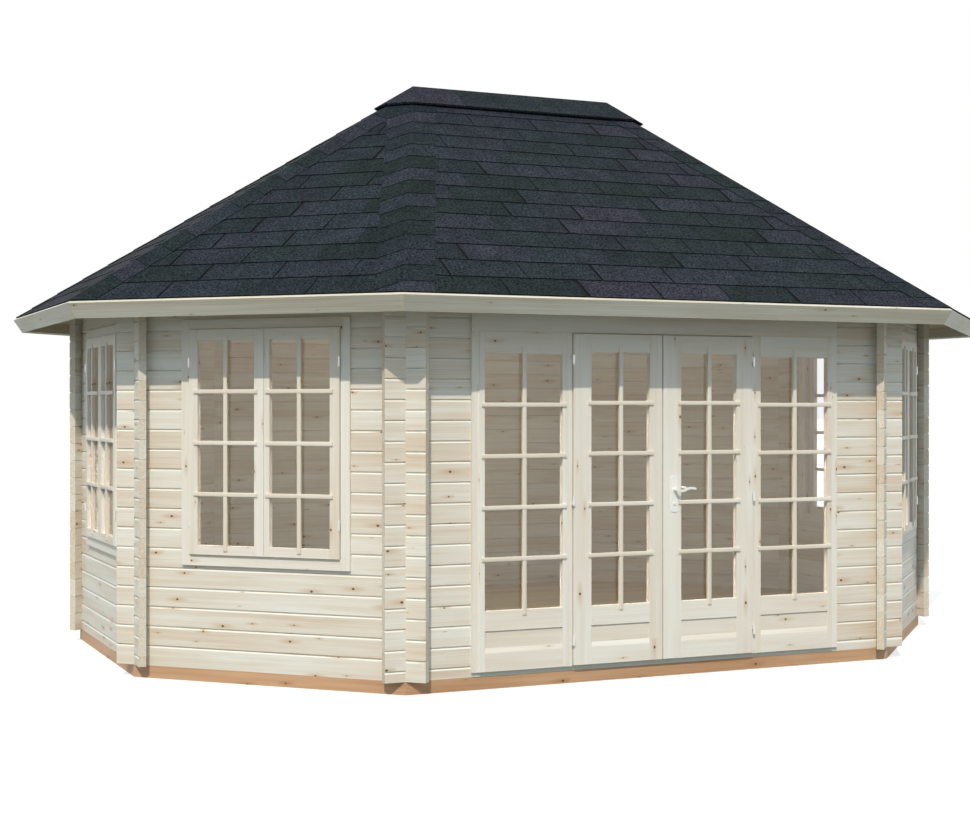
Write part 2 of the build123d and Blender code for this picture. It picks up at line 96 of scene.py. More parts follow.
def facing(angle):
    return Vector((math.cos(math.radians(angle)), math.sin(math.radians(angle)), 0))


def along(angle):
    return UP.cross(facing(angle))


def crest_half(angle):
    return 0 if abs(facing(angle).x) > SIDEWAYS else ridge_half


def ridge_end(angle):
    return Vector() if crest_half(angle) else Vector((math.copysign(ridge_half, facing(angle).x), 0, 0))


def axes(x_axis, y_axis, z_axis, origin):
    turned = Matrix((x_axis, y_axis, z_axis)).transposed().to_4x4()
    return Matrix.Translation(origin) @ turned


def wall_axes(angle):
    return axes(along(angle), UP, facing(angle), ridge_end(angle) + facing(angle) * half_depth)


print("plan", round(2 * plan_high.x, 3), "by", round(2 * half_depth, 3), "m")

# %% [markdown]
# ## Camera
# The photograph was taken from eye height, left of the doors, with the camera
# level: upright edges stay parallel. A level camera with a small upward or
# downward shift gives that, and tilting the camera would not.

# %% Camera at the photograph's place
PHOTO_WIDTH, PHOTO_HEIGHT = 970, 833
FOCAL_PIXELS = 1652.3
HORIZON_PIXELS = 405.8
EYE = Vector((-4.8739, -10.4929, 1.5797))
LOOK_ASIDE = math.radians(-23.97)

camera_data = bpy.data.cameras.new("photo_camera")
camera_data.sensor_fit = "HORIZONTAL"
camera_data.lens = camera_data.sensor_width * FOCAL_PIXELS / PHOTO_WIDTH
camera_data.shift_y = (HORIZON_PIXELS - PHOTO_HEIGHT / 2) / PHOTO_WIDTH
camera = bpy.data.objects.new("photo_camera", camera_data)
camera.location = EYE
camera.rotation_euler = (math.radians(90), 0, LOOK_ASIDE)
scene.collection.objects.link(camera)
scene.camera = camera
print("camera", round(camera_data.lens, 2), "mm lens")

# %% [markdown]
# ## Colour and nodes
# Colours are written as the hex values that one reads off a screen, and the
# renderer needs them linear. One small function adds a node, sets it and links
# it, so that a material reads from top to bottom. A node that is given as an
# input stands for its first output in use.


# %% Helpers for materials
def colour(code):
    shares = [int(code[place:place + 2], 16) / 255 for place in (1, 3, 5)]
    linear = [c / 12.92 if c <= 0.04045 else ((c + 0.055) / 1.055) ** 2.4 for c in shares]
    return (*linear, 1.0)


def plug(node, inputs):
    for socket, value in inputs.items():
        if isinstance(value, bpy.types.Node):
            value = next(output for output in value.outputs if output.enabled)
        if isinstance(value, bpy.types.NodeSocket):
            node.id_data.links.new(value, node.inputs[socket])
        else:
            node.inputs[socket].default_value = value


def add(tree, kind, inputs=None, **settings):
    made = tree.nodes.new(kind)
    for name, value in settings.items():
        setattr(made, name, value)
    plug(made, inputs or {})
    return made


def new_material(name):
    material = bpy.data.materials.new(name)
    material.use_nodes = True
    return material, material.node_tree, material.node_tree.nodes["Principled BSDF"]


# %% [markdown]
# ## Untreated timber
# The whole house is planed spruce that has never been painted: cream, with soft
# darker year rings, fine fibres and small brown knots. An image would give one
# board; a pattern drawn along each board's own grain gives every board its own.
# The map named grain runs along the board in metres, and the number named tone
# tells boards apart, so the same material serves logs, frames and roof boards.
# Fibres are a millimetre wide in the tree. They are drawn four times as coarse,
# because finer ones would not show from this far.

# %% Timber material
WAVE_LENGTH = 0.314        # from crest to crest, of a wave texture with a scale of 1
RING_STRETCH, RING_WEIGHT, TONE_WEIGHT, PALE_SHARE = (0.07, 1, 1), 0.2, 0.4, 1.4
# How often each pattern repeats in a metre along and across, its detail and its weight.
STREAKS = {
    "clouds": ((0.9, 8, 1), 2.0, 1.5), "bands": ((1.5, 46, 1), 2.0, 1.1), "fibres": ((6, 240, 1), 3.0, 0.5),
}
BOARDS_APART = (37, 11, 5)
KNOT_CELL_LENGTH, KNOT_CELL_HEIGHT, KNOT_RADIUS = 0.26, 0.115, 0.009
KNOT_SQUEEZE, HALO_SQUEEZE, HALO_REACH, HALO_DEPTH = 0.75, 0.22, 3.0, 0.75


def timber(name, pale, warm, knot, ring=0.011, knot_share=0.45, contrast=0.5, rough=0.62):
    material, tree, shader = new_material(name)
    grain = add(tree, "ShaderNodeUVMap", uv_map="grain")
    tone = add(tree, "ShaderNodeAttribute", attribute_name="tone").outputs
    shift = add(tree, "ShaderNodeVectorMath", {0: tone["Vector"], 1: BOARDS_APART}, operation="MULTIPLY")
    place = add(tree, "ShaderNodeVectorMath", {0: grain, 1: shift}, operation="ADD")

    drawn_out = add(tree, "ShaderNodeMapping", {"Vector": place, "Scale": RING_STRETCH})
    rings = add(
        tree, "ShaderNodeTexWave",
        {"Vector": drawn_out, "Scale": WAVE_LENGTH / ring, "Distortion": 9.0, "Detail": 2.0, "Detail Scale": 0.35},
        bands_direction="Y",
    )
    patterns = [(rings.outputs["Fac"], RING_WEIGHT)]
    for stretch, detail, weight in STREAKS.values():
        stretched = add(tree, "ShaderNodeMapping", {"Vector": place, "Scale": stretch})
        streak = add(tree, "ShaderNodeTexNoise", {"Vector": stretched, "Scale": 1.0, "Detail": detail})
        patterns.append((streak, weight))
    patterns.append((tone["Fac"], TONE_WEIGHT))
    total = 0.0
    for pattern, weight in patterns:
        total = add(tree, "ShaderNodeMath", {0: pattern, 1: contrast * weight, 2: total}, operation="MULTIPLY_ADD")
    warmth = add(tree, "ShaderNodeMath", {0: total, 1: contrast * PALE_SHARE}, operation="SUBTRACT")

    cell_scale = (1 / KNOT_CELL_LENGTH, 1 / KNOT_CELL_HEIGHT, 1)
    spread = add(tree, "ShaderNodeMapping", {"Vector": place, "Scale": cell_scale})
    cells = add(tree, "ShaderNodeTexVoronoi", {"Vector": spread, "Scale": 1.0}, voronoi_dimensions="2D").outputs
    apart = add(tree, "ShaderNodeVectorMath", {0: spread, 1: cells["Position"]}, operation="SUBTRACT")
    distances = []
    for squeeze in (KNOT_SQUEEZE, HALO_SQUEEZE):
        cell_size = (KNOT_CELL_LENGTH * squeeze, KNOT_CELL_HEIGHT, 0)
        squeezed = add(tree, "ShaderNodeVectorMath", {0: apart, 1: cell_size}, operation="MULTIPLY")
        distances.append(add(tree, "ShaderNodeVectorMath", {0: squeezed}, operation="LENGTH"))
    away, far = distances
    chance = add(tree, "ShaderNodeSeparateColor", {"Color": cells["Color"]}).outputs["Red"]
    radius = add(
        tree, "ShaderNodeMapRange", {"Value": chance, "From Min": 1 - knot_share, "To Max": KNOT_RADIUS}
    )
    core = add(tree, "ShaderNodeMath", {0: radius, 1: 0.5}, operation="MULTIPLY")
    heart = add(
        tree, "ShaderNodeMapRange", {"Value": away, "From Min": radius, "From Max": core},
        interpolation_type="SMOOTHSTEP",
    )
    reach = add(tree, "ShaderNodeMath", {0: radius, 1: HALO_REACH}, operation="MULTIPLY")
    halo = add(
        tree, "ShaderNodeMapRange", {"Value": far, "From Min": reach, "From Max": 0.0, "To Max": HALO_DEPTH},
        interpolation_type="SMOOTHSTEP",
    )

    face = colour(pale)
    for share, shade in ((warmth, warm), (halo, warm), (heart, knot)):
        face = add(tree, "ShaderNodeMix", {0: share, 6: face, 7: colour(shade)}, data_type="RGBA")
    relief = add(tree, "ShaderNodeBump", {"Strength": 0.25, "Distance": 0.0006, "Height": total})
    plug(shader, {"Base Color": face, "Normal": relief, "Roughness": rough})
    return material


log_spruce = timber("planed_spruce_log", "#eaebe7", "#ccb294", "#5c4130", knot_share=0.65, contrast=0.66)
joinery_spruce = timber("planed_spruce_joinery", "#eeeeeb", "#d4c0a7", "#5b402e", ring=0.007, knot_share=0.5)
fascia_spruce = timber("planed_spruce_fascia", "#e3e3dc", "#bfb39b", "#5b402e", ring=0.016, contrast=0.75)
roof_spruce = timber("tongued_spruce_roof_board", "#dfd3b9", "#bd9769", "#553a27", knot_share=0.6)
floor_spruce = timber("tongued_spruce_floor_board", "#d9c8a6", "#b98f5f", "#553a27", knot_share=0.5)
ground_pine = timber("pressure_treated_pine", "#d3ad8c", "#a87b57", "#573720", knot_share=0.45, contrast=0.7)
print("timber", len(bpy.data.materials), "materials")

# %% [markdown]
# ## End grain
# Where a log is sawn across, the year rings show as arcs round the heart, and
# the cut drinks in more dirt than the planed face. A ring wave about a point
# below each log end draws those arcs.

# %% End grain material
END_RING, END_BLOTCHES = 0.008, 60.0

end_grain, tree, shader = new_material("sawn_spruce_end_grain")
grain = add(tree, "ShaderNodeUVMap", uv_map="grain")
tone = add(tree, "ShaderNodeAttribute", attribute_name="tone").outputs["Fac"]
rings = add(
    tree, "ShaderNodeTexWave",
    {"Vector": grain, "Scale": WAVE_LENGTH / END_RING, "Distortion": 1.5, "Detail Scale": 0.5},
    wave_type="RINGS", rings_direction="Z",
)
share = add(tree, "ShaderNodeTexNoise", {"Vector": grain, "Scale": END_BLOTCHES, "Detail": 2.0})
for pattern, weight in ((rings.outputs["Fac"], 0.3), (tone, 0.5)):
    share = add(tree, "ShaderNodeMath", {0: pattern, 1: weight, 2: share}, operation="MULTIPLY_ADD")
share = add(tree, "ShaderNodeMath", {0: share, 1: 0.45}, operation="SUBTRACT")
face = add(tree, "ShaderNodeMix", {0: share, 6: colour("#eae9e4"), 7: colour("#ccb798")}, data_type="RGBA")
plug(shader, {"Base Color": face, "Roughness": 0.8})

# %% [markdown]
# ## Shingles, glass and metal
# Bitumen shingles are felt pressed full of slate grit: dull, charcoal, and each
# tab leans a little to blue, green or violet. Grit is a millimetre across and
# is drawn twelve times as coarse, to show at all. Where a tab is cut the bare
# bitumen is black. The underlay in the slots is that black too, as painted shade,
# and a band of painted shade darkens each course under the edge of the course above.
# The glass lets lamps through, or the room behind it would be black.
# Zinc-plated hinges are bright and a little mottled, the lacquered lock is smooth
# and white, and the aluminium sill has gone dull.

# %% Shingle material
GRIT = 0.012
TAB_WIDTH, COURSE, SLOT, FELT, COVER = 0.46, 0.198, 0.008, 0.0037, 0.015
# Height of the painted shade band under the edge of the course above.
SHADE_BAND = 0.009
CAP_BLOCK = (TAB_WIDTH, 9.0, 9.0)
SHADES = {0.35: "#1f2829", 0.55: "#21292f", 0.7: "#22272f", 0.9: "#262831"}


def shingle_felt(name, tint_from):
    material, tree, shader = new_material(name)
    where = add(tree, "ShaderNodeTexCoord").outputs["Object"]
    if tint_from == "tab":
        tint = add(tree, "ShaderNodeAttribute", attribute_name="tint").outputs["Fac"]
    else:
        block = add(tree, "ShaderNodeVectorMath", {0: where, 1: CAP_BLOCK}, operation="SNAP")
        tint = add(tree, "ShaderNodeTexWhiteNoise", {"Vector": block})
    batch = add(tree, "ShaderNodeTexNoise", {"Vector": where, "Scale": 1.6, "Detail": 1.0})
    shared = add(tree, "ShaderNodeMath", {0: batch, 1: 0.8}, operation="MULTIPLY")
    lean = add(tree, "ShaderNodeMath", {0: tint, 1: 0.44, 2: shared}, operation="MULTIPLY_ADD")
    palette = add(tree, "ShaderNodeValToRGB", {"Fac": lean})
    for place, (position, shade) in enumerate(SHADES.items()):
        stop = palette.color_ramp.elements[place] if place < 2 else palette.color_ramp.elements.new(1.0)
        stop.position = position
        stop.color = colour(shade)

    grit = add(tree, "ShaderNodeTexNoise", {"Vector": where, "Scale": 1 / GRIT, "Detail": 2.0, "Roughness": 0.8})
    worn = add(tree, "ShaderNodeTexNoise", {"Vector": where, "Scale": 6.0, "Detail": 3.0})
    rise = add(tree, "ShaderNodeAttribute", attribute_name="rise").outputs["Fac"]
    light = None
    for value, start, end, first, last in (
        (grit, 0.36, 0.72, 0.22, 2.8),
        (worn, 0.25, 0.75, 0.8, 1.25),
        (tint, 0.0, 1.0, 0.8, 1.24),
        # Painted shade: each tab darkens towards the top of its exposure, under the course above.
        (rise, COURSE - SHADE_BAND, COURSE - SHADE_BAND / 2, 1.0, 0.45),
    ):
        factor = add(
            tree, "ShaderNodeMapRange",
            {"Value": value, "From Min": start, "From Max": end, "To Min": first, "To Max": last},
        )
        light = add(tree, "ShaderNodeMath", {0: light, 1: factor}, operation="MULTIPLY") if light else factor
    gritted_and_shade_band = add(tree, "ShaderNodeVectorMath", {0: palette, "Scale": light}, operation="SCALE")
    relief = add(tree, "ShaderNodeBump", {"Strength": 0.5, "Distance": 0.0012, "Height": grit})
    plug(shader, {"Base Color": gritted_and_shade_band, "Normal": relief, "Roughness": 0.92, "Specular IOR Level": 0.05})
    return material


shingle = shingle_felt("slate_grit_bitumen_shingle", "tab")
cap_shingle = shingle_felt("slate_grit_bitumen_cap", "block")

# %% Cut edge of the felt, also the painted shade of the underlay in the slots
cut_edge_and_slot_shade, tree, shader = new_material("bare_bitumen_cut_edge")
where = add(tree, "ShaderNodeTexCoord").outputs["Object"]
lumps = add(tree, "ShaderNodeTexNoise", {"Vector": where, "Scale": 120.0, "Detail": 1.0})
tar = add(tree, "ShaderNodeMix", {0: lumps, 6: colour("#0b0d0f"), 7: colour("#16191c")}, data_type="RGBA")
plug(shader, {"Base Color": tar, "Roughness": 0.8, "Specular IOR Level": 0.1})

# %% Glass material
glass, tree, shader = new_material("clear_float_glass")
plug(shader, {"Base Color": colour("#ffffff"), "Roughness": 0.0, "IOR": 1.5, "Transmission Weight": 1.0})
shadow_ray = add(tree, "ShaderNodeLightPath").outputs["Is Shadow Ray"]
clear = add(tree, "ShaderNodeBsdfTransparent", {"Color": colour("#fdfdfb")})
pane = add(tree, "ShaderNodeMixShader", {0: shadow_ray, 1: shader, 2: clear})
plug(tree.nodes["Material Output"], {"Surface": pane})


# %% Metal materials
def metal(name, tint, worn, rough, metallic, wear):
    material, tree, shader = new_material(name)
    where = add(tree, "ShaderNodeTexCoord").outputs["Object"]
    mottle = add(tree, "ShaderNodeTexNoise", {"Vector": where, "Scale": 1 / wear, "Detail": 3.0})
    gloss = add(
        tree, "ShaderNodeMapRange", {"Value": mottle, "To Min": rough * 0.75, "To Max": rough * 1.25}
    )
    shade = add(tree, "ShaderNodeMix", {0: mottle, 6: colour(tint), 7: colour(worn)}, data_type="RGBA")
    plug(shader, {"Base Color": shade, "Roughness": gloss, "Metallic": metallic})
    return material


hinge_steel = metal("zinc_plated_steel", "#eef0f1", "#d3d6d8", 0.35, 0.6, 0.004)
lock_alloy = metal("white_lacquered_alloy", "#f8f9fa", "#eceeef", 0.28, 0.0, 0.02)
sill_metal = metal("weathered_aluminium", "#c2c6c0", "#d0d3cc", 0.6, 0.1, 0.03)
print("materials", len(bpy.data.materials))

# %% [markdown]
# ## Grain on the solids
# A wall is a stack of logs, and its solid already has the joints, the crossed
# ends and the openings. A copy of that solid gets the two things it lacks for
# timber: a map along the grain, and one tone for each log. Faces that lie
# across the grain are sawn ends and take the end-grain finish.

# %% Pieces that ride on a body
MERGE = 1e-6
# A face that looks this much along the grain is sawn, and one that looks this much up or down is level.
SAWN, LEVEL = 0.75, 0.9


def to_mesh(shape, name):
    mesh = bpy.data.meshes.new(name)
    shape.to_mesh(mesh)
    shape.free()
    return mesh


def pour(part, shape):
    loose = to_mesh(part, "loose")
    shape.from_mesh(loose)
    bpy.data.meshes.remove(loose)


def settle(shape, name, materials, body, slot, *replaced):
    mesh = to_mesh(shape, name)
    for material in materials:
        mesh.materials.append(material)
    piece = bpy.data.objects.new(name, mesh)
    scene.collection.objects.link(piece)
    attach(piece, body)
    if replaced:
        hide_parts(*replaced)
    return piece


def map_grain(shape, direction_of, log_of, name):
    for layer in list(shape.loops.layers.uv.values()):
        shape.loops.layers.uv.remove(layer)
    grain_map = shape.loops.layers.uv.new("grain")
    tone_layer = shape.faces.layers.float.new("tone")
    for side in shape.faces:
        centre = side.calc_center_median()
        run = direction_of(centre)
        sawn = abs(side.normal.dot(run)) > SAWN
        if sawn:
            level = abs(side.normal.z) > LEVEL
            run = side.normal.orthogonal().normalized() if level else UP.cross(side.normal)
        across = side.normal.cross(run)
        side.material_index = int(sawn)
        side[tone_layer] = random.Random(f"{name} {log_of(centre)}").random()
        for corner in side.loops:
            corner[grain_map].uv = (corner.vert.co.dot(run), corner.vert.co.dot(across))


def dress(source, name, direction_of, log_of, face_material, slot, work=None):
    shape = bmesh.new()
    shape.from_mesh(nodes[source].data)
    bmesh.ops.remove_doubles(shape, verts=shape.verts, dist=MERGE)
    if work:
        work(shape)
    for side in shape.faces:
        side.smooth = False
    shape.normal_update()
    map_grain(shape, direction_of, log_of, name)
    return settle(shape, name, [face_material, end_grain], "house", slot, source)


# %% [markdown]
# ## Log walls
# The solids have their joints on the weather side. A real log is chamfered on
# both faces, and a hairline runs across the sawn ends. The copy is sliced at
# each joint, and the points on the joint are pushed in: cheaper and cleaner
# than cutting a groove out of every wall. The chamfers look up, and they get
# the palest tone as a painted highlight.

# %% Joints on the room side and across the ends
LOG_HEIGHT, LOG_DEPTH = 0.114, 0.044
CHAMFER, LIP, GROOVE = 0.010, 0.003, 0.006
DEEPER, HIGHER = 0.005, 0.004
HAIRLINE, HAIRLINE_DEPTH = 0.0015, 0.004
# A face that looks up by more than the least and less than the most is a chamfer.
CHAMFER_HIGHLIGHT_TONE, CHAMFER_LEAST, CHAMFER_MOST = -0.8, 0.3, 0.95
SAME_HEIGHT, SAME_FACE = 1e-5, 1e-4


def joint_logs(shape, angle, first_joint):
    into_wall = wall_axes(angle).inverted()
    spots = [into_wall @ corner.co for corner in shape.verts]
    start, end = min(spot.x for spot in spots), max(spot.x for spot in spots)
    top = max(spot.y for spot in spots)
    joint = first_joint
    while joint < top:
        for height in (joint - CHAMFER, joint - HAIRLINE, joint, joint + HAIRLINE, joint + LIP):
            everything = [*shape.verts, *shape.edges, *shape.faces]
            bmesh.ops.bisect_plane(
                shape, geom=everything, plane_co=(0, 0, height), plane_no=UP, dist=SAME_HEIGHT
            )
        on_the_ground = joint < ground_height + LIP
        for corner in [] if on_the_ground else shape.verts:
            spot = into_wall @ corner.co
            inside = abs(spot.z + LOG_DEPTH) < SAME_FACE
            if abs(spot.y - joint - LIP) < SAME_HEIGHT and (abs(spot.z) < SAME_FACE or inside):
                corner.co.z += HIGHER
            if abs(spot.y - joint) > SAME_HEIGHT:
                continue
            if inside:
                corner.co += facing(angle) * (GROOVE + DEEPER)
            elif abs(spot.z + GROOVE) < SAME_FACE:
                corner.co -= facing(angle) * DEEPER
            if spot.x < start + SAME_FACE:
                corner.co += along(angle) * HAIRLINE_DEPTH
            elif spot.x > end - SAME_FACE:
                corner.co -= along(angle) * HAIRLINE_DEPTH
        joint += LOG_HEIGHT


# %% The ten pieces of wall
wall_nodes = {
    "front_wall_left": "front", "front_wall_right": "front", "front_wall_top": "front",
    "back_wall": "back", "back_left_wall": "back_left", "back_right_wall": "back_right",
    "front_left_wall": "front_left", "front_right_wall": "front_right",
    "left_end_wall": "left_end", "right_end_wall": "right_end",
}
for wall_node, side in wall_nodes.items():
    angle = WALLS[side]
    first_joint = ground_height + (LOG_HEIGHT / 2 if side in STRAIGHT else 0)
    wall = dress(
        wall_node, f"{wall_node}_logs", lambda centre: along(angle),
        lambda centre: math.floor((centre.z - first_joint) / LOG_HEIGHT), log_spruce, "log_spruce",
        lambda shape: joint_logs(shape, angle, first_joint),
    )
    # Painted highlight: chamfers that look up get the palest tone.
    tones = wall.data.attributes["tone"].data
    for face in wall.data.polygons:
        if CHAMFER_LEAST < face.normal.z < CHAMFER_MOST:
            tones[face.index].value = CHAMFER_HIGHLIGHT_TONE
print("walls", len(wall_nodes))


# %% Ground frame, joists, posts, head, fascias and rafters
def nearest_wall(centre, walls=WALLS):
    return max(walls.values(), key=lambda angle: (centre - ridge_end(angle)).dot(facing(angle)))


def hip_angle(centre):
    from_end = centre.x - math.copysign(ridge_half, centre.x)
    turn = math.degrees(math.atan2(centre.y, from_end))
    return TURN * math.floor(turn / TURN) + HALF_TURN


def hip_run(centre):
    return (facing(hip_angle(centre)) - UP * hip_fall).normalized()


def whole(centre):
    return 0


def by_place(centre):
    return round(centre.x, 1)


dress(
    "foundation_frame", "ground_frame_beams", lambda centre: along(nearest_wall(centre)), nearest_wall,
    ground_pine, "treated_timber",
)
dress("floor_joists", "floor_joist_beams", lambda centre: ALONG_Y, by_place, ground_pine, "treated_timber")
dress("door_posts", "door_post_boards", lambda centre: UP, by_place, joinery_spruce, "joinery_spruce")
dress("door_head", "door_head_board", lambda centre: ALONG_X, whole, joinery_spruce, "joinery_spruce")
for fascia, walls in (("straight_fascias", STRAIGHT), ("diagonal_fascias", DIAGONAL)):
    dress(
        fascia, f"{fascia}_boards", lambda centre: along(nearest_wall(centre, walls)),
        lambda centre: nearest_wall(centre, walls), fascia_spruce, "fascia_spruce",
    )
dress("hip_rafters", "hip_rafter_beams", hip_run, hip_angle, roof_spruce, "roof_spruce")
dress("ridge_beam", "ridge_beam_timber", lambda centre: ALONG_X, whole, roof_spruce, "roof_spruce")

# %% [markdown]
# ## Boards
# Window frames, sashes and door leaves are joined from separate stiles and
# rails. Built as single solids they would have grain running round corners, so
# here each board is its own planed length with a softened edge, and the joints
# show as they do in the real thing.

# %% Boards with softened edges
SOFT_EDGE, CUT_EDGE = 0.0015, 0.002


def soften(plank, edge):
    bmesh.ops.bevel(plank, geom=plank.edges, offset=edge, segments=1, affect="EDGES")
    plank.normal_update()


def board(shape, low, high, run, place, name):
    plank = bmesh.new()
    bmesh.ops.create_cube(plank, size=1.0)
    size = [high[axis] - low[axis] for axis in range(3)]
    middle = Vector([(high[axis] + low[axis]) / 2 for axis in range(3)])
    for corner in plank.verts:
        corner.co = Vector([corner.co[axis] * size[axis] for axis in range(3)]) + middle
    soften(plank, min(SOFT_EDGE, min(size) / 4))
    direction = Vector([float(axis == run) for axis in range(3)])
    mark = f"{name} {[round(value, 3) for value in (*low, *high)]}"
    map_grain(plank, lambda centre: direction, lambda centre: mark, name)
    plank.transform(place)
    pour(plank, shape)


def surround(shape, outer, inner, front, back, place, name):
    left, bottom, right, top = outer
    in_left, in_bottom, in_right, in_top = inner
    for x0, x1 in ((left, in_left), (in_right, right)):
        board(shape, (x0, bottom, back), (x1, top, front), 1, place, name)
    for y0, y1 in ((bottom, in_bottom), (in_top, top)):
        board(shape, (in_left, y0, back), (in_right, y1, front), 0, place, name)


# %% Boards cut to a plan
def close_box(shape, corners):
    lower, upper = [[shape.verts.new(corner) for corner in half] for half in (corners[:4], corners[4:])]
    rings = [lower[::-1], upper]
    for place in range(4):
        after = (place + 1) % 4
        rings.append((lower[place], lower[after], upper[after], upper[place]))
    return [shape.faces.new(ring) for ring in rings]


def cut_board(shape, corners, run, name, edge=CUT_EDGE):
    plank = bmesh.new()
    bmesh.ops.recalc_face_normals(plank, faces=close_box(plank, corners))
    soften(plank, edge)
    mark = [round(value, 3) for value in corners[0]]
    map_grain(plank, lambda centre: run, lambda centre: mark, name)
    pour(plank, shape)


# %% Where a wall's own pieces lie
# Sashes meet a little right of the middle, and a wall's own pieces lie near its face and its middle.
MEETING, NEAR_WALL, WIDEST = 0.007, 0.15, 1.6
GLASS_COVER = 0.0076


def local_box(name, angle, side=0):
    into_wall = wall_axes(angle).inverted()
    points = [into_wall @ corner.co for corner in nodes[name].data.vertices]
    near = [
        p for p in points if abs(p.z) < NEAR_WALL and side * (p.x - MEETING) >= 0 and abs(p.x) < WIDEST
    ]
    return [Vector([end(p[axis] for p in near) for axis in range(3)]) for end in (min, max)]


def daylight(pane, angle, side):
    low, high = local_box(pane, angle, side)
    seen = (low.x + GLASS_COVER, low.y + GLASS_COVER, high.x - GLASS_COVER, high.y - GLASS_COVER)
    return seen, high.z


# %% Window frames and sashes
CASING_FACE, CASING_LAP, CASING_PROUD = 0.056, 0.025, 0.018
joinery = [joinery_spruce, end_grain]
window_sides = ("front_left", "front_right", "left_end", "right_end")
sash_shape = bmesh.new()
for side in window_sides:
    angle = WALLS[side]
    place = wall_axes(angle)
    low, high = local_box(f"{side}_window_frame", angle)
    outer = (low.x, low.y, high.x, high.y)
    foot = local_box("window_sashes", angle)[0].y
    clear = (low.x + CASING_FACE, foot, high.x - CASING_FACE, high.y - CASING_FACE)
    opening = (low.x + CASING_LAP, low.y + CASING_LAP, high.x - CASING_LAP, high.y - CASING_LAP)
    frame_shape = bmesh.new()
    surround(frame_shape, outer, clear, high.z, 0.0, place, side)
    surround(frame_shape, opening, clear, 0.0, low.z + CASING_PROUD, place, side)
    surround(frame_shape, outer, clear, low.z + CASING_PROUD, low.z, place, f"{side} inner")
    settle(
        frame_shape, f"{side}_window_casing", joinery, "house", "joinery_spruce", f"{side}_window_frame"
    )
    for hand in (-1, 1):
        low, high = local_box("window_sashes", angle, hand)
        outer = (low.x, low.y, high.x, high.y)
        clear = daylight("window_glass", angle, hand)[0]
        surround(sash_shape, outer, clear, high.z, low.z, place, f"{side} {hand}")
settle(sash_shape, "window_sash_boards", joinery, "house", "joinery_spruce", "window_sashes")

# %% Hinge barrels at the outer edges of the sashes
BARREL_RADIUS, BARREL_LENGTH, BARREL_HEIGHTS = 0.0065, 0.056, (0.918, 1.826)
lying_to_upright = Matrix.Rotation(math.pi / 2, 4, "X")
barrels = bmesh.new()
for side in window_sides:
    angle = WALLS[side]
    low, high = local_box("window_sashes", angle)
    for edge_x in (low.x, high.x):
        for height in BARREL_HEIGHTS:
            upright = wall_axes(angle) @ Matrix.Translation((edge_x, height, high.z)) @ lying_to_upright
            bmesh.ops.create_cone(
                barrels, cap_ends=True, segments=16, radius1=BARREL_RADIUS, radius2=BARREL_RADIUS,
                depth=BARREL_LENGTH, matrix=upright,
            )
barrels.normal_update()
settle(barrels, "window_hinge_barrels", [hinge_steel], "house", "hinge_steel")

# %% Door leaves and sidelights
PANEL_LOW, PANEL_HIGH, PANEL_SUNK = 0.202, 0.325, 0.008
BEAD_HEIGHT, BEAD_NOSE, BEAD_EDGE = 0.03, 0.003, 0.0005
front_place = wall_axes(WALLS["front"])
leaves = {
    "left_door": ("left_door_glass", 0, "left_door"),
    "right_door": ("right_door_glass", 0, "right_door"),
    "left_sidelight": ("sidelight_glass", -1, "house"),
    "right_sidelight": ("sidelight_glass", 1, "house"),
}
panels = {}
for leaf, (pane, hand, body) in leaves.items():
    low, high = local_box(leaf, WALLS["front"])
    clear, glass_face = daylight(pane, WALLS["front"], hand)
    left, bottom, right, top = clear
    panels[leaf] = (clear, high.z, glass_face, body)
    sunk = high.z - PANEL_SUNK
    leaf_shape = bmesh.new()
    surround(
        leaf_shape, (low.x, low.y, high.x, high.y), (left, PANEL_LOW, right, top), high.z, low.z, front_place, leaf
    )
    board(leaf_shape, (left, PANEL_HIGH, low.z), (right, bottom, high.z), 0, front_place, leaf)
    board(leaf_shape, (left, PANEL_LOW, low.z + PANEL_SUNK), (right, PANEL_HIGH, sunk), 0, front_place, leaf)
    bead = [
        (PANEL_LOW, sunk), (PANEL_LOW, high.z - BEAD_EDGE), (PANEL_LOW + BEAD_NOSE, high.z - BEAD_EDGE),
        (PANEL_LOW + BEAD_HEIGHT, sunk),
    ]
    ends = [front_place @ Vector((x, y, z)) for x in (left, right) for y, z in bead]
    cut_board(leaf_shape, ends, ALONG_X, leaf, BEAD_EDGE)
    settle(leaf_shape, f"{leaf}_boards", joinery, body, "joinery_spruce", leaf)
print("joinery", len(panels), "glazed panels")

# %% [markdown]
# ## Glazing bars
# The panes are whole sheets. A lattice of thin rounded bars lies in front of
# each one and laps onto the frame. The bars repeat by a rule, so a node tree
# makes them: one rounded bar, stood on a row of points across and a row of
# points up. Each bar carries its grain map before it is copied. The sums that a
# tree needs are listed in a table, and a loop adds a node for each.


# %% Node trees and what grows from them
def new_tree(name, **sockets):
    tree = bpy.data.node_groups.new(name, "GeometryNodeTree")
    for label, kind in sockets.items():
        tree.interface.new_socket(label, in_out="INPUT", socket_type=f"NodeSocket{kind}")
    tree.interface.new_socket("Mesh", in_out="OUTPUT", socket_type="NodeSocketGeometry")
    return tree, dict(add(tree, "NodeGroupInput").outputs.items())


def grow(tree, shape, place, **values):
    host = bpy.data.objects.new(tree.name, bpy.data.meshes.new(tree.name))
    scene.collection.objects.link(host)
    modifier = host.modifiers.new(tree.name, "NODES")
    modifier.node_group = tree
    for socket in tree.interface.items_tree:
        if socket.in_out == "INPUT":
            modifier[socket.identifier] = values[socket.name]
    grown = bpy.data.meshes.new_from_object(host.evaluated_get(bpy.context.evaluated_depsgraph_get()))
    host.modifiers.clear()
    bpy.data.objects.remove(host)
    if grown.materials[0] is None:
        grown.materials.pop(index=0)
    grown.transform(place)
    shape.from_mesh(grown)
    bpy.data.meshes.remove(grown)


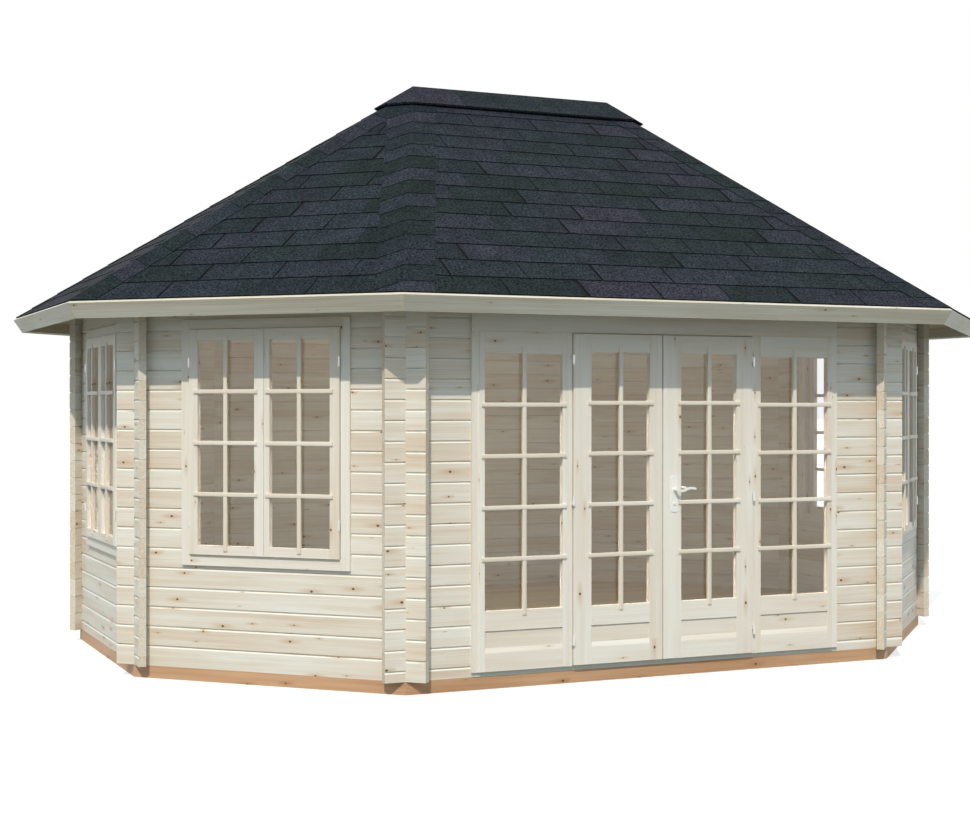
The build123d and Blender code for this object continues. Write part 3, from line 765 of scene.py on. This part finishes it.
# %% Tree of the glazing bars
BAR_ROUNDING, UPRIGHT_BEHIND = 0.15, -0.0015
bars, given = new_tree(
    "glazing_bars", Width="Float", Height="Float", Rows="Int", Bar="Float", Depth="Float", Side="Float", Top="Float",
    Foot="Float", Material="Material",
)
sums = {
    "rounding": ("MULTIPLY", "Depth", BAR_ROUNDING),
    "long": ("MULTIPLY_ADD", "Side", 2.0, "Width"),
    "both_laps": ("ADD", "Top", "Foot"),
    "tall": ("ADD", "both_laps", "Height"),
    "uneven": ("SUBTRACT", "Top", "Foot"),
    "middle": ("MULTIPLY", "uneven", 0.5),
    "row_gap": ("DIVIDE", "Height", "Rows"),
    "bar_count": ("SUBTRACT", "Rows", 1.0),
    "lowest": ("MULTIPLY_ADD", "Height", -0.5, "row_gap"),
}
for result, (operation, *terms) in sums.items():
    inputs = {place: given.get(term, term) for place, term in enumerate(terms)}
    given[result] = add(bars, "ShaderNodeMath", inputs, operation=operation)
outline = add(bars, "GeometryNodeCurvePrimitiveQuadrilateral", {"Width": given["Bar"], "Height": given["Depth"]})
profile = add(
    bars, "GeometryNodeFilletCurve", {"Curve": outline, "Radius": given["rounding"], "Count": 2}, mode="POLY"
)
lattice = add(bars, "GeometryNodeJoinGeometry")
for length, count, start, step, behind, quarter in (
    ("long", given["bar_count"], given["lowest"], given["row_gap"], 0.0, 0.0),
    ("tall", 1, given["middle"], 0.0, UPRIGHT_BEHIND, math.pi / 2),
):
    near_end, far_end = [
        add(bars, "ShaderNodeCombineXYZ", {
            "X": add(bars, "ShaderNodeMath", {0: given[length], 1: share}, operation="MULTIPLY"),
        })
        for share in (-0.5, 0.5)
    ]
    axis = add(bars, "GeometryNodeCurvePrimitiveLine", {"Start": near_end, "End": far_end})
    stick = add(
        bars, "GeometryNodeCurveToMesh", {"Curve": axis, "Profile Curve": profile, "Fill Caps": True}
    )
    spot = add(bars, "ShaderNodeSeparateXYZ", {0: add(bars, "GeometryNodeInputPosition")}).outputs
    girth = add(bars, "ShaderNodeMath", {0: spot["Y"], 1: spot["Z"]}, operation="ADD")
    laid = add(bars, "ShaderNodeCombineXYZ", {"X": spot["X"], "Y": girth})
    mapped = add(
        bars, "GeometryNodeStoreNamedAttribute", {"Geometry": stick, "Name": "grain", "Value": laid},
        data_type="FLOAT2", domain="CORNER",
    )
    start_at = add(bars, "ShaderNodeCombineXYZ", {"Y": start, "Z": behind})
    step_by = add(bars, "ShaderNodeCombineXYZ", {"Y": step})
    spots = add(bars, "GeometryNodeMeshLine", {"Count": count, "Start Location": start_at, "Offset": step_by})
    copies = add(
        bars, "GeometryNodeInstanceOnPoints", {"Points": spots, "Instance": mapped, "Rotation": (0, 0, quarter)}
    )
    pick = add(bars, "FunctionNodeRandomValue", data_type="FLOAT")
    toned = add(
        bars, "GeometryNodeStoreNamedAttribute", {"Geometry": copies, "Name": "tone", "Value": pick},
        data_type="FLOAT", domain="INSTANCE",
    )
    plug(lattice, {"Geometry": toned})
real = add(bars, "GeometryNodeRealizeInstances", {"Geometry": lattice})
finished = add(bars, "GeometryNodeSetMaterial", {"Geometry": real, "Material": given["Material"]})
add(bars, "NodeGroupOutput", {"Mesh": finished})

# %% Bars before every pane
BAR_WIDTH, BAR_DEPTH, BAR_PROUD, BAR_SHOULDER, GLASS_PLAY = 0.024, 0.014, 0.009, 0.003, 0.002
DOOR_ROWS, WINDOW_ROWS = 5, 4
DOOR_LAPS, WINDOW_LAPS = (0.020, 0.042, 0.028), (0.022, 0.020, 0.029)


def lay_lattice(shape, clear, front, glass_face, rows, laps, place):
    left, bottom, right, top = clear
    shoulder = front + BAR_PROUD - BAR_DEPTH
    core = shoulder - glass_face - GLASS_PLAY
    for bar, depth, stand, (side, above, below) in (
        (BAR_WIDTH, BAR_DEPTH, shoulder + BAR_DEPTH / 2, laps),
        (BAR_WIDTH - 2 * BAR_SHOULDER, core, shoulder - core / 2, (0.0, 0.0, 0.0)),
    ):
        middle = Matrix.Translation(((left + right) / 2, (bottom + top) / 2, stand))
        grow(
            bars, shape, place @ middle, Width=right - left, Height=top - bottom, Rows=rows, Bar=bar, Depth=depth,
            Side=side, Top=above, Foot=below, Material=joinery_spruce,
        )


def settle_lattice(shape, name, body):
    shape.normal_update()
    settle(shape, f"{name}_glazing_bars", [joinery_spruce], body, "joinery_spruce")


for leaf, (clear, front, glass_face, body) in panels.items():
    lattice_shape = bmesh.new()
    lay_lattice(lattice_shape, clear, front, glass_face, DOOR_ROWS, DOOR_LAPS, front_place)
    settle_lattice(lattice_shape, leaf, body)
for side in window_sides:
    angle = WALLS[side]
    lattice_shape = bmesh.new()
    for hand in (-1, 1):
        clear, glass_face = daylight("window_glass", angle, hand)
        front = local_box("window_sashes", angle, hand)[1].z
        lay_lattice(lattice_shape, clear, front, glass_face, WINDOW_ROWS, WINDOW_LAPS, wall_axes(angle))
    settle_lattice(lattice_shape, f"{side}_window", "house")

# %% [markdown]
# ## Roof boards and floor boards
# Under the shingles lie tongued boards, side by side along each eave, and they
# show from below and through the open doors. The floor has the same kind of
# board. Each board is cut to its slope, with the hips as mitres.

# %% Slopes of the roof
SHINGLE_LAYER, ROOF_BOARD = 0.008, 0.019
shingle_low, shingle_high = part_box("shingles")
roof_peak = shingle_high.z


def slope_axes(angle, drop):
    normal = facing(angle) * math.sin(PITCH) + UP * math.cos(PITCH)
    uphill = UP * math.sin(PITCH) - facing(angle) * math.cos(PITCH)
    top = Vector((0, 0, roof_peak)) + ridge_end(angle) - normal * drop
    return axes(along(angle), uphill, normal, top)


def slope_point(angle, drop, reach, hand):
    half = crest_half(angle) + reach * corner_share
    height = roof_peak - drop / math.cos(PITCH) - reach * math.tan(PITCH)
    return ridge_end(angle) + facing(angle) * reach + along(angle) * half * hand + UP * height


# %% Roof boards
BOARD_COVER, TOP_BOARD_END, CREST = 0.096, 0.012, 0.004
roof_groups = {
    "front_roof": ("front",), "back_roof": ("back",), "end_roofs": ("left_end", "right_end"),
    "front_corner_roofs": ("front_left", "front_right"), "back_corner_roofs": ("back_left", "back_right"),
}
board_reach = -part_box("front_roof")[0].y + SHINGLE_LAYER * math.sin(PITCH)
step = BOARD_COVER * math.cos(PITCH)
for roof, sides in roof_groups.items():
    roof_shape = bmesh.new()
    for side in sides:
        angle = WALLS[side]
        outer = board_reach
        while outer > step / 4:
            inner = max(outer - step, TOP_BOARD_END)
            corners = []
            for drop in (SHINGLE_LAYER + ROOF_BOARD, SHINGLE_LAYER):
                lean = drop * math.sin(PITCH)
                for reach, hand in ((outer, -1), (outer, 1), (inner, 1), (inner, -1)):
                    corners.append(slope_point(angle, drop, max(reach - lean, CREST), hand))
            cut_board(roof_shape, corners, along(angle), roof)
            outer -= step
    settle(roof_shape, f"{roof}_boards", [roof_spruce, end_grain], "house", "roof_spruce", roof)

# %% Floor boards
FLOOR_COVER, FLOOR_EDGE, NARROWEST = 0.088, 0.0012, 0.01
floor_low, floor_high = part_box("floor")
near_corner = floor_high.y * corner_share


def floor_half(y):
    return floor_high.x - max(abs(y) - near_corner, 0)


floor_shape = bmesh.new()
edge_y = floor_low.y
while edge_y < floor_high.y - NARROWEST:
    next_y = min(edge_y + FLOOR_COVER, floor_high.y)
    corners = [
        Vector((hand * floor_half(y), y, z))
        for z in (floor_low.z, floor_high.z)
        for y, hand in ((edge_y, -1), (edge_y, 1), (next_y, 1), (next_y, -1))
    ]
    cut_board(floor_shape, corners, ALONG_X, "floor", FLOOR_EDGE)
    edge_y = next_y
settle(floor_shape, "floor_boards", [floor_spruce, end_grain], "house", "floor_spruce", "floor")
print("boards laid on", len(roof_groups), "roof groups and the floor")

# %% [markdown]
# ## Shingles
# Shingles come in strips with tabs. Each course covers the top of the one below
# and shows a hand's breadth, so its lower edge stands proud and throws a dark
# line. A node tree lays one tab on a grid of points, each row shifted sideways,
# with a tint of its own. Each slope is then cut along its hips, which is what
# the roofer does with a knife.


# %% A tint for each tab, grit on its faces, bare bitumen on its cut edges
def finish_felt(tree, tabs, given):
    pick = add(tree, "FunctionNodeRandomValue", {"Seed": given["Seed"]}, data_type="FLOAT")
    tinted = add(
        tree, "GeometryNodeStoreNamedAttribute", {"Geometry": tabs, "Name": "tint", "Value": pick},
        data_type="FLOAT", domain="INSTANCE",
    )
    real = add(tree, "GeometryNodeRealizeInstances", {"Geometry": tinted})
    faced = add(tree, "GeometryNodeSetMaterial", {"Geometry": real, "Material": given["Material"]})
    turned = add(tree, "ShaderNodeSeparateXYZ", {0: add(tree, "GeometryNodeInputNormal").outputs["Normal"]})
    level = add(tree, "ShaderNodeMath", {0: turned.outputs["Z"]}, operation="ABSOLUTE")
    upright = add(tree, "FunctionNodeCompare", {0: level, 1: 0.5}, operation="LESS_THAN")
    edged = add(
        tree, "GeometryNodeSetMaterial", {"Geometry": faced, "Selection": upright, "Material": given["Edge"]}
    )
    add(tree, "NodeGroupOutput", {"Mesh": edged})


# %% Tree of the shingle courses
ROW_SHIFT, WAVER = 0.37, 0.012
courses, given = new_tree(
    "shingle_courses", Width="Float", Rows="Int", Tab="Float", Course="Float", Slot="Float", Felt="Float",
    Cover="Float", Seed="Int", Material="Material", Edge="Material",
)
spot = add(courses, "ShaderNodeSeparateXYZ", {0: add(courses, "GeometryNodeInputPosition")}).outputs
given["spot_up"] = spot["Y"]
given["waver"] = add(
    courses, "FunctionNodeRandomValue", {2: -WAVER, 3: WAVER, "Seed": given["Seed"]}, data_type="FLOAT"
)
sums = {
    "tab_count": ("DIVIDE", "Width", "Tab"),
    "tab_room": ("ADD", "tab_count", 3.0),
    "tabs": ("CEIL", "tab_room"),
    "gaps_across": ("SUBTRACT", "tabs", 1.0),
    "gaps_up": ("SUBTRACT", "Rows", 1.0),
    "size_across": ("MULTIPLY", "gaps_across", "Tab"),
    "size_up": ("MULTIPLY", "gaps_up", "Course"),
    "half_up": ("MULTIPLY", "size_up", 0.5),
    "from_eave": ("ADD", "spot_up", "half_up"),
    "row": ("DIVIDE", "from_eave", "Course"),
    "whole_row": ("ROUND", "row"),
    "part_tab": ("MULTIPLY", "whole_row", ROW_SHIFT),
    "own_shift": ("FRACT", "part_tab"),
    "slide": ("MULTIPLY", "own_shift", "Tab"),
    "slid": ("ADD", "slide", "waver"),
    "tab_width": ("SUBTRACT", "Tab", "Slot"),
    "tab_height": ("ADD", "Course", "Cover"),
    "lift": ("MULTIPLY", "tab_height", 0.5),
    "half_felt": ("MULTIPLY", "Felt", 0.5),
    "fall": ("DIVIDE", "Felt", "Course"),
    "lean": ("MULTIPLY", "fall", -1.0),
}
for result, (operation, *terms) in sums.items():
    inputs = {place: given.get(term, term) for place, term in enumerate(terms)}
    given[result] = add(courses, "ShaderNodeMath", inputs, operation=operation)
grid = add(
    courses, "GeometryNodeMeshGrid",
    {"Size X": given["size_across"], "Size Y": given["size_up"], "Vertices X": given["tabs"],
     "Vertices Y": given["Rows"]},
)
moved = add(courses, "ShaderNodeCombineXYZ", {"X": given["slid"], "Y": given["half_up"]})
spots = add(courses, "GeometryNodeSetPosition", {"Geometry": grid, "Offset": moved})
tab_size = add(
    courses, "ShaderNodeCombineXYZ", {"X": given["tab_width"], "Y": given["tab_height"], "Z": given["Felt"]}
)
sheet = add(courses, "GeometryNodeMeshCube", {"Size": tab_size})
from_edge = add(courses, "ShaderNodeCombineXYZ", {"Y": given["lift"], "Z": given["half_felt"]})
hung = add(courses, "GeometryNodeTransform", {"Geometry": sheet, "Translation": from_edge})
banded = add(
    courses, "GeometryNodeStoreNamedAttribute", {"Geometry": hung, "Name": "rise", "Value": spot["Y"]},
    data_type="FLOAT", domain="POINT",
)
turn = add(courses, "ShaderNodeCombineXYZ", {"X": given["lean"]})
raised = add(courses, "ShaderNodeCombineXYZ", {"Z": given["Felt"]})
leaning = add(
    courses, "GeometryNodeTransform", {"Geometry": banded, "Translation": raised, "Rotation": turn}
)
laid = add(courses, "GeometryNodeInstanceOnPoints", {"Points": spots, "Instance": leaning})
finish_felt(courses, laid, given)


# %% Courses on the eight slopes
def cut(shape, point, outward):
    everything = [*shape.verts, *shape.edges, *shape.faces]
    bmesh.ops.bisect_plane(shape, geom=everything, plane_co=point, plane_no=outward, clear_outer=True)
    rims = [edge for edge in shape.edges if edge.is_boundary]
    bmesh.ops.holes_fill(shape, edges=rims, sides=0)


def hip_planes(angle):
    for hand in (-1, 1):
        start = ridge_end(angle) + along(angle) * crest_half(angle) * hand
        hip = facing(angle + HALF_TURN * hand)
        yield start, hip.cross(UP) * -hand


EAVE_LAP = 0.010
shingle_reach = -shingle_low.y + EAVE_LAP * math.cos(PITCH)
slope_length = shingle_reach / math.cos(PITCH)
rows = math.ceil(slope_length / COURSE)
roof_felt = bmesh.new()
for seed, angle in enumerate(WALLS.values()):
    slope = bmesh.new()
    grow(
        courses, slope, slope_axes(angle, SHINGLE_LAYER) @ Matrix.Translation((0, -slope_length, 0)),
        Width=2 * (crest_half(angle) + shingle_reach * corner_share), Rows=rows, Tab=TAB_WIDTH, Course=COURSE,
        Slot=SLOT, Felt=FELT, Cover=COVER, Seed=seed, Material=shingle, Edge=cut_edge_and_slot_shade,
    )
    for point, outward in hip_planes(angle):
        cut(slope, point, outward)
    cut(slope, Vector(), -facing(angle))
    pour(slope, roof_felt)

# %% Underlay that closes the slots between the tabs, black as painted shade
UNDERLAY = 0.0012
underlay_reach = shingle_reach - CREST
for angle in WALLS.values():
    corners = [
        slope_point(angle, drop, reach, hand)
        for drop in (SHINGLE_LAYER, SHINGLE_LAYER - UNDERLAY)
        for reach, hand in ((underlay_reach, -1), (underlay_reach, 1), (CREST, 1), (CREST, -1))
    ]
    # Painted shade: the underlay takes the black bitumen, so the slots read dark.
    for side in close_box(roof_felt, corners):
        side.material_index = 1
roof_felt.normal_update()
settle(roof_felt, "roof_shingles", [shingle, cut_edge_and_slot_shade], "house", "bitumen_shingle", "shingles")
print("shingle rows", rows)

# %% [markdown]
# ## Hip shingles
# Over each hip goes a row of single tabs, bent to both slopes, each covering the
# top of the one below. One bent tab is modelled to the angle between the slopes,
# a node tree sets it along the hip, and the eaves cut the lowest one. Near the
# ridge two hips crowd onto one slope, so each stops at the middle of that slope.

# %% Tree of the hip tabs
hip_row, given = new_tree(
    "hip_shingle_row", Tab="Object", Count="Int", Course="Float", Seed="Int", Material="Material", Edge="Material"
)
step_by = add(hip_row, "ShaderNodeCombineXYZ", {"Y": given["Course"]})
spots = add(hip_row, "GeometryNodeMeshLine", {"Count": given["Count"], "Offset": step_by})
one_tab = add(hip_row, "GeometryNodeObjectInfo", {"Object": given["Tab"], "As Instance": True})
laid = add(
    hip_row, "GeometryNodeInstanceOnPoints", {"Points": spots, "Instance": one_tab.outputs["Geometry"]}
)
finish_felt(hip_row, laid, given)

# %% One bent tab for each hand
HIP_TAB = 0.33
hip_pitch = math.atan(hip_fall)
hip_top = Vector((0, math.cos(hip_pitch), math.sin(hip_pitch)))
slope_normal = Vector((corner_sin * math.sin(PITCH), -corner_cos * math.sin(PITCH), math.cos(PITCH)))
wing = hip_top.cross(slope_normal).normalized()
wing_drop = math.asin(-wing.z / math.cos(hip_pitch))
skew = corner_share * math.cos(PITCH)
bent_tabs = {}
for hand in (-1, 1):
    tab_shape = bmesh.new()
    layers = []
    for end, rise in ((0.0, FELT * 2), (COURSE + COVER, FELT)):
        for felt in (0.0, FELT):
            row = []
            for spread in (-HIP_TAB / 2, 0.0, HIP_TAB / 2):
                x = spread * math.cos(wing_drop)
                z = rise + felt - abs(spread) * math.sin(wing_drop)
                row.append(tab_shape.verts.new((x, end + hand * skew * spread, z)))
            layers.append(row)
    low_front, high_front, low_back, high_back = layers
    for i in range(2):
        tab_shape.faces.new((high_front[i], high_front[i + 1], high_back[i + 1], high_back[i]))
        tab_shape.faces.new((low_front[i + 1], low_front[i], low_back[i], low_back[i + 1]))
        tab_shape.faces.new((low_front[i], low_front[i + 1], high_front[i + 1], high_front[i]))
        tab_shape.faces.new((low_back[i + 1], low_back[i], high_back[i], high_back[i + 1]))
    for i in (0, 2):
        tab_shape.faces.new((low_front[i], high_front[i], high_back[i], low_back[i]))
    bmesh.ops.recalc_face_normals(tab_shape, faces=tab_shape.faces)
    bent_tabs[hand] = bpy.data.objects.new("bent_tab", to_mesh(tab_shape, "bent_tab"))
    scene.collection.objects.link(bent_tabs[hand])

# %% The eight hips
# A row starts by this share of a course below the eave, and ends this far from the ridge's end.
HIP_SEED, HIP_START, HIP_END = 40, 0.35, 0.1
hip_length = shingle_reach / corner_cos / math.cos(hip_pitch)
hips = bmesh.new()
for seed, angle in enumerate(WALLS.values()):
    turn = angle + HALF_TURN
    across = along(turn)
    uphill = UP * math.sin(hip_pitch) - facing(turn) * math.cos(hip_pitch)
    ridge_point = ridge_end(turn) + UP * (roof_peak - SHINGLE_LAYER / math.cos(PITCH))
    foot = ridge_point - uphill * (hip_length + COURSE * HIP_START)
    row_shape = bmesh.new()
    grow(
        hip_row, row_shape, axes(across, uphill, across.cross(uphill), foot),
        Tab=bent_tabs[-1 if angle in STRAIGHT.values() else 1], Count=math.ceil(hip_length / COURSE) + 1,
        Course=COURSE, Seed=HIP_SEED + seed, Material=shingle, Edge=cut_edge_and_slot_shade,
    )
    for wall, beyond in ((angle, -along(angle)), (angle + TURN, along(angle + TURN))):
        cut(row_shape, ridge_end(wall) + facing(wall) * shingle_reach, facing(wall))
        if not crest_half(wall):
            cut(row_shape, ridge_end(wall), beyond)
    cut(row_shape, ridge_end(turn) + facing(turn) * HIP_END, -facing(turn))
    pour(row_shape, hips)
for bent_tab in bent_tabs.values():
    bpy.data.objects.remove(bent_tab)
hips.normal_update()
settle(hips, "hip_shingles", [shingle, cut_edge_and_slot_shade], "house", "bitumen_shingle")
print("hips", len(WALLS))

# %% [markdown]
# ## Finishes on the solids that stay
# Glass, hinges, lock, sill and ridge cap are good as solids. They only need
# their finish.

# %% Finish the remaining solids
finishes = {
    "window_glass": glass, "sidelight_glass": glass, "left_door_glass": glass, "right_door_glass": glass,
    "frame_hinges": hinge_steel, "left_door_hinges": hinge_steel, "right_door_hinges": hinge_steel,
    "lock_plates": lock_alloy, "lever": lock_alloy, "door_sill": sill_metal, "ridge_cap": cap_shingle,
}
for name, material in finishes.items():
    nodes[name].data.materials.clear()
    nodes[name].data.materials.append(material)
print("finished", len(finishes), "solids")

# %% [markdown]
# ## Light and stage
# The photograph has a clear high sun from the left and an even sky. A sun lamp
# and a pale sky give that at a plain level. A weak broad sun from behind and a
# weak lamp in the room keep the far side and the inside from going black. The
# floor is white to the camera and keeps the shadow, and it throws back only a
# little light, as ground does.

# %% Lamps
SUN_FROM, BACK_FROM = Vector((-0.382, -0.588, 0.713)), Vector((0.45, 0.75, 0.48))
ROOM_MIDDLE = (0, 0, 1.6)


def lamp(name, kind, energy, tint, **settings):
    data = bpy.data.lights.new(name, kind)
    data.energy, data.color = energy, colour(tint)[:3]
    for setting, value in settings.items():
        setattr(data, setting, value)
    made = bpy.data.objects.new(name, data)
    scene.collection.objects.link(made)
    return made


sun = lamp("sun", "SUN", 2.52, "#fdf0dc", angle=math.radians(0.8))
back = lamp("back_fill", "SUN", 0.9, "#ffeedb", angle=math.radians(20))
for source, comes_from in ((sun, SUN_FROM), (back, BACK_FROM)):
    source.rotation_euler = comes_from.to_track_quat("Z", "Y").to_euler()
fill = lamp("room_fill", "POINT", 15, "#fbfde6", shadow_soft_size=0.5)
fill.location = ROOM_MIDDLE
fill.visible_camera = fill.visible_glossy = fill.visible_transmission = False


# %% Sky and floor
def shown(tree):
    path = add(tree, "ShaderNodeLightPath").outputs
    rays = path["Is Camera Ray"]
    for ray in ("Is Transmission Ray", "Is Glossy Ray"):
        rays = add(tree, "ShaderNodeMath", {0: rays, 1: path[ray]}, operation="MAXIMUM")
    return rays


world = bpy.data.worlds.new("studio")
scene.world = world
world.use_nodes = True
tree = world.node_tree
sky = add(tree, "ShaderNodeBackground", {"Color": colour("#e4f0f4"), "Strength": 0.82})
white = add(tree, "ShaderNodeBackground", {"Color": colour("#ffffff"), "Strength": 1.0})
backdrop = add(tree, "ShaderNodeMixShader", {0: shown(tree), 1: sky, 2: white})
plug(tree.nodes["World Output"], {"Surface": backdrop})

floor_material, tree, shader = new_material("pale_studio_floor")
ground = add(tree, "ShaderNodeBsdfDiffuse", {"Color": colour("#686e6c")})
paper = add(tree, "ShaderNodeBsdfDiffuse", {"Color": colour("#b4b4b4")})
glow = add(tree, "ShaderNodeEmission", {"Color": colour("#ffffff"), "Strength": 0.62})
lit = add(tree, "ShaderNodeAddShader", {0: paper, 1: glow})
surface = add(tree, "ShaderNodeMixShader", {0: shown(tree), 1: ground, 2: lit})
plug(tree.nodes["Material Output"], {"Surface": surface})
FLOOR_HALF = 150.0
floor_mesh = bpy.data.meshes.new("studio_floor")
floor_mesh.from_pydata(
    [(x * FLOOR_HALF, y * FLOOR_HALF, 0) for x, y in ((-1, -1), (1, -1), (1, 1), (-1, 1))], [], [(0, 1, 2, 3)]
)
floor_mesh.materials.append(floor_material)
studio_floor = bpy.data.objects.new("studio_floor", floor_mesh)
scene.collection.objects.link(studio_floor)
studio_floor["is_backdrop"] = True

scene.view_settings.view_transform = "Standard"

# %% Sizes, and the end
low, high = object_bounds()
{"cad": [list(cad_low), list(cad_high)], "visual": [list(low), list(high)]}
print("size", [round(value, 4) for value in (*low, *high)])
